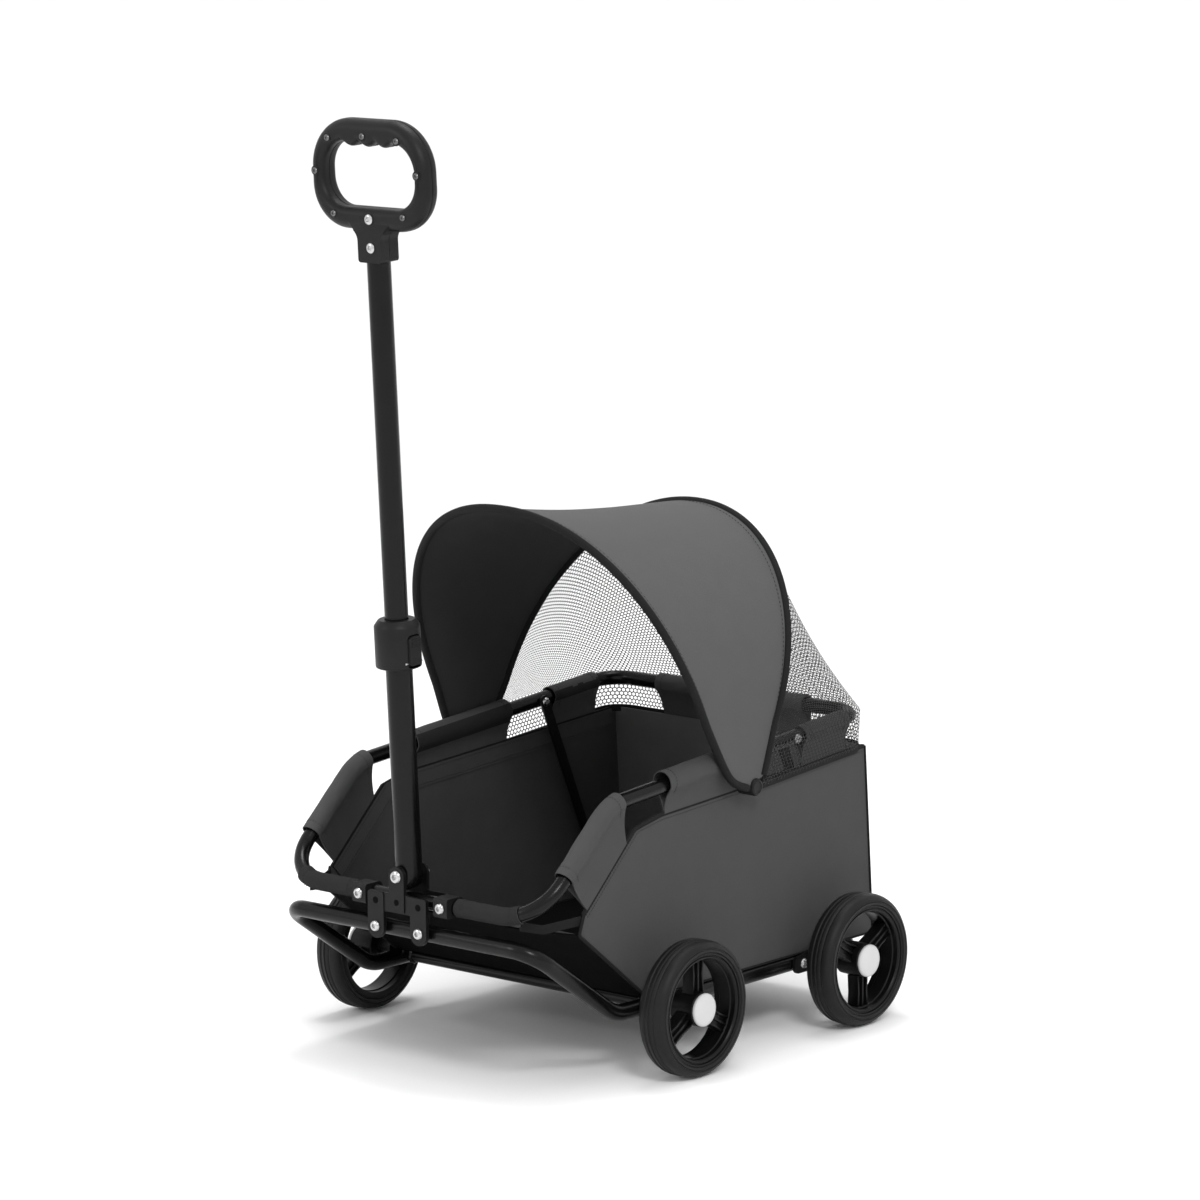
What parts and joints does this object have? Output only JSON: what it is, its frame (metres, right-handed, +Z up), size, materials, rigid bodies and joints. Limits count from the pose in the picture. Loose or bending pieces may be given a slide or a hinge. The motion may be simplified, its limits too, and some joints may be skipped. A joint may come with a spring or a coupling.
{
  "type": "pet stroller",
  "caption": "Small pull-along pet stroller with a tubular frame, fabric cabin, canopy with mesh hood, wheels and a telescopic pull pole with a loop grip.",
  "frame": {"origin": "on the ground, at the middle of the overall length and width", "axes": "+X to the stroller's right side, -Y to its front where the pole is, +Z up"},
  "size_m": [0.4468, 0.5424, 0.8968],
  "materials": {
    "painted_tube": "gloss black powder coat",
    "painted_plate": "satin black powder coat",
    "black_plastic": "moulded, fine grain",
    "tyre_rubber": "matte rubber",
    "light_cap": "light grey, satin",
    "body_cloth": "dark grey woven cloth",
    "canopy_cloth": "grey woven cloth, coated dark underside",
    "netting": "black knitted mesh",
    "bow_binding": "black edge binding over a rod",
    "floor_mat": "cloth-covered stiff board",
    "bolt_steel": "zinc plated"
  },
  "bodies": {
    "frame": {"bumper_tube": "painted_tube", "side_rail_left": "painted_tube", "side_rail_right": "painted_tube", "rear_tube": "painted_tube", "front_cross_tube": "painted_tube", "rear_cross_tube": "painted_tube", "axle_front_left": "painted_plate", "axle_front_right": "painted_plate", "axle_rear_left": "painted_plate", "axle_rear_right": "painted_plate", "rim_tube_front": "painted_tube", "rim_tube_rear": "painted_tube", "stay_left": "painted_tube", "stay_right": "painted_tube", "slope_sleeve_left": "body_cloth", "slope_sleeve_right": "body_cloth", "side_sleeve_left": "body_cloth", "side_sleeve_right": "body_cloth", "corner_sleeve_left": "body_cloth", "corner_sleeve_right": "body_cloth", "front_sleeve_left": "body_cloth", "front_sleeve_right": "body_cloth", "rear_sleeve": "body_cloth", "floor_panel": "body_cloth", "floor_board": "floor_mat", "side_panel_left": "body_cloth", "side_panel_right": "body_cloth", "rear_panel": "body_cloth", "front_panel": "body_cloth", "canopy_button_left": "black_plastic", "canopy_button_right": "black_plastic", "rear_bow": "bow_binding", "mesh_hood": "netting", "bracket_plate_front": "painted_plate", "bracket_plate_back": "painted_plate", "rim_clamp_left": "black_plastic", "rim_clamp_right": "black_plastic", "pole_bolt": "bolt_steel", "canopy_fabric": "canopy_cloth"},
    "pole": {"lower_tube": "painted_tube", "collar": "black_plastic", "latch_pin": "bolt_steel"},
    "latch": {"latch_lever": "black_plastic"},
    "pole_top": {"upper_tube": "painted_tube", "grip_front_shell": "black_plastic", "grip_back_shell": "black_plastic"},
    "canopy_front": {"front_bow": "bow_binding"},
    "wheel_front_left": {"wheel_rim_front_left": "black_plastic", "tyre_front_left": "tyre_rubber", "hub_cap_front_left": "light_cap"},
    "wheel_front_right": {"wheel_rim_front_right": "black_plastic", "tyre_front_right": "tyre_rubber", "hub_cap_front_right": "light_cap"},
    "wheel_rear_left": {"wheel_rim_rear_left": "black_plastic", "tyre_rear_left": "tyre_rubber", "hub_cap_rear_left": "light_cap"},
    "wheel_rear_right": {"wheel_rim_rear_right": "black_plastic", "tyre_rear_right": "tyre_rubber", "hub_cap_rear_right": "light_cap"}
  },
  "joints": [
    {"name": "pole_swing", "type": "hinge", "parent": "frame", "child": "pole", "pos_m": [0, -0.22333, 0.1923], "axis": [0, 1, 0], "range_deg": [-90, 90]},
    {"name": "pole_slide", "type": "slide", "parent": "pole", "child": "pole_top", "axis": [0, -0.0511, 0.9987], "range_m": [-0.185, 0]},
    {"name": "latch_flip", "type": "hinge", "parent": "pole", "child": "latch", "pos_m": [0.0189, -0.23376, 0.39603], "axis": [0, 0.9987, 0.0511], "range_deg": [0, 35]},
    {"name": "canopy_fold", "type": "hinge", "parent": "frame", "child": "canopy_front", "pos_m": [0, 0.06967, 0.25], "axis": [-1, 0, 0], "range_deg": [0, 40], "deforming": ["canopy_fabric"]},
    {"name": "wheel_spin_front_left", "type": "hinge", "parent": "frame", "child": "wheel_front_left", "pos_m": [-0.2063, -0.05973, 0.065], "axis": [1, 0, 0], "continuous": true},
    {"name": "wheel_spin_front_right", "type": "hinge", "parent": "frame", "child": "wheel_front_right", "pos_m": [0.2063, -0.05973, 0.065], "axis": [1, 0, 0], "continuous": true},
    {"name": "wheel_spin_rear_left", "type": "hinge", "parent": "frame", "child": "wheel_rear_left", "pos_m": [-0.2063, 0.18907, 0.065], "axis": [1, 0, 0], "continuous": true},
    {"name": "wheel_spin_rear_right", "type": "hinge", "parent": "frame", "child": "wheel_rear_right", "pos_m": [0.2063, 0.18907, 0.065], "axis": [1, 0, 0], "continuous": true}
  ]
}
